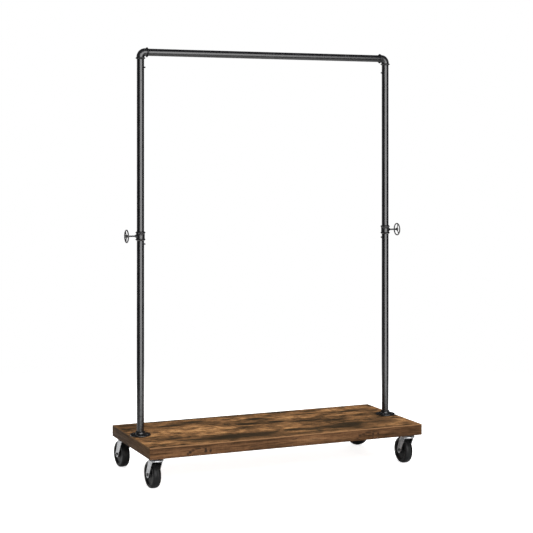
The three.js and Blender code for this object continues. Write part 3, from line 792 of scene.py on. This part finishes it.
def mouth(reach, spigot):
    """Outline of one end, from the spigot's tip to the start of the bend: (radius, distance)."""
    middle = reach - 4.0
    return [
        (PLUG_RADIUS - 0.6, reach + spigot),
        (PLUG_RADIUS, reach + spigot - 1.2),
        (PLUG_RADIUS, reach),
        (14.2, reach),
        (14.5, reach - 0.3),
        *reversed(band(middle, BEND_BODY, 14.6, 1.6)),
        (BEND_BODY, BEND_RADIUS),
    ]


def grow_ring(outline, direction, corner):
    """Extrudes the selected ring of edges through an outline that runs along a direction."""
    radius, place = outline[0]
    for next_radius, next_place in outline[1:]:
        step = Vector(direction) * (next_place - place) * MM
        bpy.ops.mesh.extrude_region_move(TRANSFORM_OT_translate={"value": step})
        middle = corner + Vector(direction) * next_place * MM
        scale = next_radius / radius
        across = [1.0 if abs(component) > 0.5 else scale for component in direction]
        bpy.ops.transform.resize(value=across, center_override=middle)
        radius, place = next_radius, next_place


fresh()
down_mouth = mouth(MOUTH_DOWN, SPIGOT_DOWN)
bpy.ops.mesh.primitive_circle_add(vertices=64, radius=down_mouth[0][0] * MM, fill_type="NGON",
                                  location=(0, 0, -down_mouth[0][1] * MM))
elbow = bpy.context.object
settle(elbow, elbow.location)
bpy.ops.object.mode_set(mode="EDIT")
bpy.ops.mesh.select_mode(type="FACE")
bpy.ops.mesh.select_all(action="SELECT")
grow_ring([(radius, -place) for radius, place in down_mouth], (0, 0, 1), Vector())
BEND_STEPS = 12
turn = math.pi / 2 / BEND_STEPS
pivot = Vector((BEND_RADIUS * MM, 0, -BEND_RADIUS * MM))
for number in range(BEND_STEPS):
    bpy.ops.mesh.extrude_region_move(TRANSFORM_OT_translate={"value": (0, 0, 0)})
    bpy.ops.object.mode_set(mode="OBJECT")
    for corner in elbow.data.vertices:
        if corner.select:
            arm = corner.co - pivot
            corner.co.x = pivot.x + arm.x * math.cos(turn) + arm.z * math.sin(turn)
            corner.co.z = pivot.z - arm.x * math.sin(turn) + arm.z * math.cos(turn)
    bpy.ops.object.mode_set(mode="EDIT")
grow_ring(list(reversed(mouth(MOUTH_ALONG, SPIGOT_ALONG))), (1, 0, 0), Vector())
bpy.ops.mesh.select_all(action="SELECT")
bpy.ops.mesh.remove_doubles(threshold=0.002 * MM)
bpy.ops.mesh.normals_make_consistent(inside=False)
bpy.ops.object.mode_set(mode="OBJECT")
settle(elbow)
soften(elbow, 0.3, 2, 40)
smooth(elbow, 40)
rail_height = (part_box("hanging_rail")[0].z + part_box("hanging_rail")[1].z) / 2
for side in ("left", "right"):
    node = "elbow_" + side
    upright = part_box("lower_tube_" + side)[0] + Vector((PIPE_RADIUS * MM, PIPE_RADIUS * MM, 0))
    bend = copy_of(elbow, (upright.x, upright.y, rail_height), (0, 0, facing[side]))
    finished(bend, "elbow_casting_" + side, "rack", "black_casting", cast_black, node)
bpy.data.objects.remove(elbow)

# ---------------------------------------------------------------------------------------------
# Caster plates: square plates of zinc-plated steel under the deck, each with a pressed ball race
# in the middle. Four short pan-head screws hold a plate to the lower panel.

PLATE_SIZE = 62
PLATE_CORNER = 7
PLATE_TOP = -0.3
PLATE_UNDER = -2.8
RACE_UNDER = -7.4
PLATE_HOLE = 23


def plated_steel(name, roughness, shade=1.0):
    """Zinc plate: a faint cloudy grain in tone and gloss, and very fine rolling marks."""
    finish, coords = start_finish(name)
    cloud = noise(finish, coords, 160, detail=5, roughness=0.6)
    marks = noise(finish, stretched(finish, coords, (900, 900, 90)), detail=3)
    spots = noise(finish, coords, 700, detail=4, roughness=0.75)
    tones = [(0.30, (0.52, 0.53, 0.55)), (0.55, (0.74, 0.75, 0.77)), (0.80, (0.84, 0.85, 0.86))]
    tones = [(place, tuple(shade * channel for channel in tone)) for place, tone in tones]
    color = ramp(finish, cloud, tones)
    dull = calc(finish, "MULTIPLY", spread(finish, spots, 0.60, 0.78), 0.45)
    color = blended(finish, dull, color, (0.38, 0.37, 0.35, 1))
    gloss = spread(finish, cloud, 0.3, 0.7, roughness - 0.05, roughness + 0.10)
    return end_finish(finish, color, gloss, marks, 0.010 * MM, Metallic=1.0)


# shade scales the zinc's colour: 0.55 darkens the forks, rivets and screws to paint the darker reflection
# in the fork legs' flats.
zinc = plated_steel("bright_zinc", 0.24, 0.55)
# The caster plates take a darker copy of the same zinc (shade 0.30): painted shade for the shadow under
# the deck.
shaded_zinc = plated_steel("shaded_zinc", 0.42, 0.30)
fresh()
bpy.ops.mesh.primitive_cube_add(size=1, location=(0, 0, (PLATE_TOP + PLATE_UNDER) / 2 * MM))
plate = bpy.context.object
plate.scale = (PLATE_SIZE * MM, PLATE_SIZE * MM, (PLATE_TOP - PLATE_UNDER) * MM)
settle(plate, plate.location)
bevel_edges(plate, lambda a, b: abs(a.z - b.z) > MM, PLATE_CORNER * MM, 8)
race = turned([
    (0, PLATE_UNDER + 1),
    (22.8, PLATE_UNDER + 1),
    (22.8, PLATE_UNDER - 0.2),
    *arc((22.6, PLATE_UNDER - 2.6), 2.4, 90, 175, 6),
    (19.9, RACE_UNDER + 1.2),
    (18.8, RACE_UNDER),
    (0, RACE_UNDER),
], 72)
combine(plate, race, "UNION")
fresh()
bpy.ops.mesh.primitive_cylinder_add(vertices=32, radius=5.6 * MM, depth=20 * MM)
combine(plate, bpy.context.object, "DIFFERENCE")
hole_places = [(-PLATE_HOLE, -PLATE_HOLE), (PLATE_HOLE, -PLATE_HOLE), (PLATE_HOLE, PLATE_HOLE),
               (-PLATE_HOLE, PLATE_HOLE)]
for x, y in hole_places:
    fresh()
    bpy.ops.mesh.primitive_cylinder_add(vertices=24, radius=2.5 * MM, depth=10 * MM)
    cutter = bpy.context.object
    cutter.scale = (1.5, 1, 1)
    settle(cutter, (x * MM, y * MM, 0), (0, 0, math.atan2(y, x)))
    combine(plate, cutter, "DIFFERENCE")
soften(plate, 0.3, 2, 40)
smooth(plate, 40)

plate_screw = turned([
    (0, -14.6), (2.0, -11.5), (2.0, 0), (3.9, 0), (4.1, 0.2), (4.1, 0.5),
    *arc((2.5, 0.6), 1.6, 5, 80, 5), (0, 2.2),
], 32)
cross_recess(plate_screw, 2.2, 2.0, 0.9, 1.2)
settle(plate_screw, turn=(math.pi, 0, 0))
smooth(plate_screw, 40)

CASTERS = ("front_left", "front_right", "back_right", "back_left")
hangs_at = {}
for caster in CASTERS:
    low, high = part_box("caster_plate_" + caster)
    hangs_at[caster] = Vector(((low.x + high.x) / 2, (low.y + high.y) / 2, high.z - PLATE_TOP * MM))
    finished(copy_of(plate, hangs_at[caster]), "caster_top_" + caster, "rack", "zinc_plate",
             shaded_zinc, "caster_plate_" + caster)
    for number, (x, y) in enumerate(hole_places, 1):
        seat = hangs_at[caster] + Vector((x * MM, y * MM, (PLATE_UNDER - 0.1) * MM))
        driven = copy_of(plate_screw, seat, (0, 0, math.radians(37 * number + 11 * x)))
        finished(driven, f"plate_screw_{caster}_{number}", "rack", "zinc_plate", zinc)
bpy.data.objects.remove(plate)
bpy.data.objects.remove(plate_screw)

# ---------------------------------------------------------------------------------------------
# Caster forks: a dished crown with two legs, pressed from one sheet of steel and zinc plated. A
# channel pressed into each leg stiffens it. A rivet through crown and race is the kingpin.

CROWN_TOP = -7.7
CROWN_RIM = -14.2
CROWN_RADIUS = 26.5
SHEET = 2.5
LEG_INSIDE = 18.0
LEG_END = 12
LEG_FRONT = -16
LEG_BACK = 21
AXLE_BACK = 34
AXLE_DOWN = -68.5
fork = turned([
    (5.6, CROWN_TOP - SHEET),
    (CROWN_RADIUS - SHEET - 1.2, CROWN_TOP - SHEET),
    *arc((CROWN_RADIUS - SHEET - 1.2, CROWN_TOP - SHEET - 1.2), 1.2, 90, 0, 4),
    (CROWN_RADIUS - SHEET, CROWN_RIM),
    (CROWN_RADIUS, CROWN_RIM),
    *arc((CROWN_RADIUS - 3.4, CROWN_TOP - 3.4), 3.4, 0, 90, 8),
    (5.6, CROWN_TOP),
], 72)
for side in (-1, 1):
    middle = side * (LEG_INSIDE + SHEET / 2) * MM
    fresh()
    bpy.ops.mesh.primitive_cylinder_add(
        vertices=64, radius=LEG_END * MM, depth=SHEET * MM,
        location=(middle, AXLE_BACK * MM, AXLE_DOWN * MM), rotation=(0, math.pi / 2, 0))
    leg = bpy.context.object
    settle(leg, leg.location, leg.rotation_euler)
    bpy.ops.mesh.primitive_plane_add(size=1, location=(middle, (LEG_FRONT + LEG_BACK) / 2 * MM,
                                                       (CROWN_TOP - 1.2) * MM))
    root = bpy.context.object
    root.scale = (SHEET * MM, (LEG_BACK - LEG_FRONT) * MM, 1)
    settle(root, root.location)
    leg.select_set(True)
    bpy.context.view_layer.objects.active = leg
    bpy.ops.object.join()
    bpy.ops.object.mode_set(mode="EDIT")
    bpy.ops.mesh.select_all(action="SELECT")
    bpy.ops.mesh.convex_hull()
    bpy.ops.mesh.dissolve_limited(angle_limit=math.radians(1))
    bpy.ops.object.mode_set(mode="OBJECT")
    for group in (leg.data.vertices, leg.data.edges, leg.data.polygons):
        for part in group:
            part.select = False
    for face in leg.data.polygons:
        face.select = face.normal.x * side > 0.9
    bpy.context.tool_settings.mesh_select_mode = (False, False, True)
    bpy.ops.object.mode_set(mode="EDIT")
    bpy.ops.mesh.inset(thickness=3.6 * MM, depth=0)
    bpy.ops.mesh.inset(thickness=1.4 * MM, depth=-0.9 * MM)
    bpy.ops.object.mode_set(mode="OBJECT")
    combine(fork, leg, "UNION")
    fresh()
    bpy.ops.mesh.primitive_cylinder_add(
        vertices=32, radius=4.3 * MM, depth=10 * MM,
        location=(middle, AXLE_BACK * MM, AXLE_DOWN * MM), rotation=(0, math.pi / 2, 0))
    combine(fork, bpy.context.object, "DIFFERENCE")
soften(fork, 0.45, 3, 35)
smooth(fork, 40)

KINGPIN_UNDER = -10.5
kingpin = turned([
    (0, -0.6), (5, -0.6), (5, KINGPIN_UNDER), (8.5, KINGPIN_UNDER), (8.5, KINGPIN_UNDER - 0.5),
    *arc((7.1, KINGPIN_UNDER - 0.5), 1.4, 0, -80, 5), (2.6, KINGPIN_UNDER - 2.0),
    (2.2, KINGPIN_UNDER - 1.4), (0, KINGPIN_UNDER - 1.4),
], 48)
smooth(kingpin, 40)
HEADINGS = {"front_left": 3.4, "front_right": 1.1, "back_right": 33, "back_left": 5}
for caster, heading in HEADINGS.items():
    turned_fork = copy_of(fork, hangs_at[caster], (0, 0, math.radians(heading)))
    finished(turned_fork, "fork_" + caster, caster + "_fork", "zinc_plate", zinc,
             "caster_fork_" + caster)
    finished(copy_of(kingpin, hangs_at[caster]), "kingpin_rivet_" + caster, "rack", "zinc_plate",
             zinc, "caster_kingpin_" + caster)
bpy.data.objects.remove(fork)
bpy.data.objects.remove(kingpin)

# ---------------------------------------------------------------------------------------------
# Axles: steel rivets through the fork's legs, with low domed heads, in black zinc.

AXLE_RADIUS = 4.0
HEAD_FACE = 20.8
axle_end = [
    (AXLE_RADIUS, HEAD_FACE),
    (5.2, HEAD_FACE),
    (5.4, HEAD_FACE + 0.3),
    (5.4, HEAD_FACE + 0.8),
    *arc((3.8, HEAD_FACE + 0.9), 1.6, 5, 80, 5),
    (1.6, HEAD_FACE + 2.6),
    (1.2, HEAD_FACE + 1.9),
    (0, HEAD_FACE + 1.9),
]
axle = turned([(radius, -place) for radius, place in reversed(axle_end)] + axle_end, 48)
settle(axle, turn=(0, math.pi / 2, 0))
smooth(axle, 40)

# ---------------------------------------------------------------------------------------------
# Wheels: black moulded wheels, a hard rubber tread on a plastic core. The tread has round
# shoulders and a fine parting line; the recessed sides are dished towards the hub.


def moulded_black(name):
    """Black rubber and plastic: satin, with dust in the grain and faint scuffs on the tread."""
    finish, coords = start_finish(name)
    dust = noise(finish, coords, 60, detail=6, roughness=0.65)
    grain = noise(finish, coords, 1400, detail=2)
    scuff = noise(finish, stretched(finish, coords, (500, 120, 120)), detail=5, roughness=0.7)
    color = blended(finish, spread(finish, dust, 0.4, 0.8), (0.0045, 0.0045, 0.0048, 1),
                    (0.0095, 0.0092, 0.0090, 1))
    worn = calc(finish, "MULTIPLY", spread(finish, scuff, 0.60, 0.80), 0.35)
    color = blended(finish, worn, color, (0.030, 0.029, 0.028, 1))
    gloss = spread(finish, dust, 0.3, 0.7, 0.30, 0.40)
    return end_finish(finish, color, gloss, grain, 0.02 * MM, Specular_IOR_Level=0.14)


rubber = moulded_black("moulded_black")
wheel_side = [
    (50.0, 0.5),
    (49.9, 4.0),
    (49.5, 8.0),
    (48.6, 11.2),
    (47.2, 13.5),
    (45.4, 14.9),
    (43.4, 15.4),
    (40.6, 15.5),
    (40.2, 15.0),
    (39.8, 15.0),
    (39.4, 15.5),
    (37.4, 15.5),
    (36.6, 15.1),
    (35.4, 12.2),
    (34.2, 10.6),
    (31.6, 9.6),
    (14.2, 11.6),
    (12.4, 12.6),
    (11.6, 14.4),
    (11.2, 16.6),
    (10.6, 17.2),
    (5.0, 17.2),
    (4.45, 16.7),
]
around_wheel = [(radius, -place) for radius, place in reversed(wheel_side)] + wheel_side
middle = len(wheel_side)
around_wheel[middle:middle] = [(49.85, -0.25), (50.0, 0.0), (49.85, 0.25)]
wheel = turned(around_wheel, 128)
settle(wheel, turn=(0, math.pi / 2, 0))
soften(wheel, 0.3, 2, 35)
smooth(wheel, 40)
for caster, heading in HEADINGS.items():
    turn = math.radians(heading)
    trail = Vector((-math.sin(turn) * AXLE_BACK, math.cos(turn) * AXLE_BACK, AXLE_DOWN))
    centre = hangs_at[caster] + trail * MM
    finished(copy_of(axle, centre, (0, 0, turn)), "axle_rivet_" + caster, caster + "_fork",
             "black_screw", black_zinc, "caster_axle_" + caster)
    finished(copy_of(wheel, centre, (0, 0, turn)), "wheel_" + caster, caster + "_wheel",
             "black_rubber", rubber, "caster_wheel_" + caster)
bpy.data.objects.remove(axle)
bpy.data.objects.remove(wheel)

# ---------------------------------------------------------------------------------------------
# Stage: a pale floor that fades into white, one very large soft light in front, beyond the camera,
# a soft top light that the rack does not mirror, and two weak lights behind it for its far sides.

fresh()
bpy.ops.mesh.primitive_circle_add(vertices=96, radius=9, fill_type="NGON")
floor = bpy.context.object
floor.name = "studio_floor"
floor_finish, floor_coords = start_finish("pale_floor")
reach = add_node(floor_finish, "VectorMath", {0: floor_coords}, operation="LENGTH").outputs["Value"]
fade = spread(floor_finish, reach, 0.9, 2.6)
lit = add_node(floor_finish, "BsdfDiffuse", {"Color": (0.90, 0.90, 0.90, 1)})
direct = add_node(floor_finish, "LightPath", {}).outputs["Is Camera Ray"]
glow_level = calc(floor_finish, "MULTIPLY", direct, 0.75)
glow = add_node(floor_finish, "Emission", {"Color": (1, 1, 1, 1), "Strength": glow_level})
pale = add_node(floor_finish, "AddShader", {0: lit.outputs[0], 1: glow.outputs[0]})
clear = add_node(floor_finish, "BsdfTransparent", {"Color": (1, 1, 1, 1)})
faded = add_node(floor_finish, "MixShader", {0: fade, 1: pale.outputs[0], 2: clear.outputs[0]})
add_node(floor_finish, "OutputMaterial", {"Surface": faded.outputs[0]})
floor.data.materials.append(floor_finish)
floor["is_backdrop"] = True

world = bpy.data.worlds.new("white_studio")
bpy.context.scene.world = world
world.use_nodes = True
world.node_tree.nodes.clear()
AMBIENT = 0.36
MIRRORED = 0.03
ray = add_node(world, "LightPath", {})
soft = add_node(world, "Mix", {0: ray.outputs["Is Glossy Ray"], 2: AMBIENT, 3: MIRRORED},
                data_type="FLOAT")
level = add_node(world, "Mix", {0: ray.outputs["Is Camera Ray"], 2: soft.outputs[0], 3: 1.0},
                data_type="FLOAT")
sky = add_node(world, "Background", {"Color": (1, 1, 1, 1), "Strength": level.outputs[0]})
add_node(world, "OutputWorld", {"Surface": sky.outputs[0]})


def soft_light(name, place, aim, width, height, power, mirrored=True):
    fresh()
    bpy.ops.object.light_add(type="AREA", location=place)
    light = bpy.context.object
    light.name = name
    light.data.shape = "RECTANGLE"
    light.data.size = width
    light.data.size_y = height
    light.data.energy = power
    light.rotation_euler = (Vector(aim) - Vector(place)).to_track_quat("-Z", "Y").to_euler()
    light.visible_camera = False
    light.visible_glossy = mirrored
    return light


soft_light("key_softbox", (-0.4, -7.1, 1.8), (0, 0, 0.9), 8.8, 7.4, 1030)
soft_light("top_softbox", (0.3, -0.6, 4.6), (0, 0, 0), 3.0, 2.5, 170, mirrored=False)
soft_light("back_softbox", (-2.4, 4.6, 1.2), (0, 0, 0.5), 2.2, 2.2, 18)
soft_light("far_softbox", (2.2, 4.6, 2.2), (0, 0, 0.8), 3.0, 3.0, 60, mirrored=False)

bpy.ops.object.camera_add(location=(-2.1215, -4.9400, 1.2318),
                          rotation=(math.pi / 2, 0, math.radians(-23.29)))
camera = bpy.context.object
camera.data.sensor_width = 36
camera.data.lens = 94.21
camera.data.shift_y = -0.2271
bpy.context.scene.camera = camera
bpy.context.scene.view_settings.view_transform = "Standard"

low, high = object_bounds()
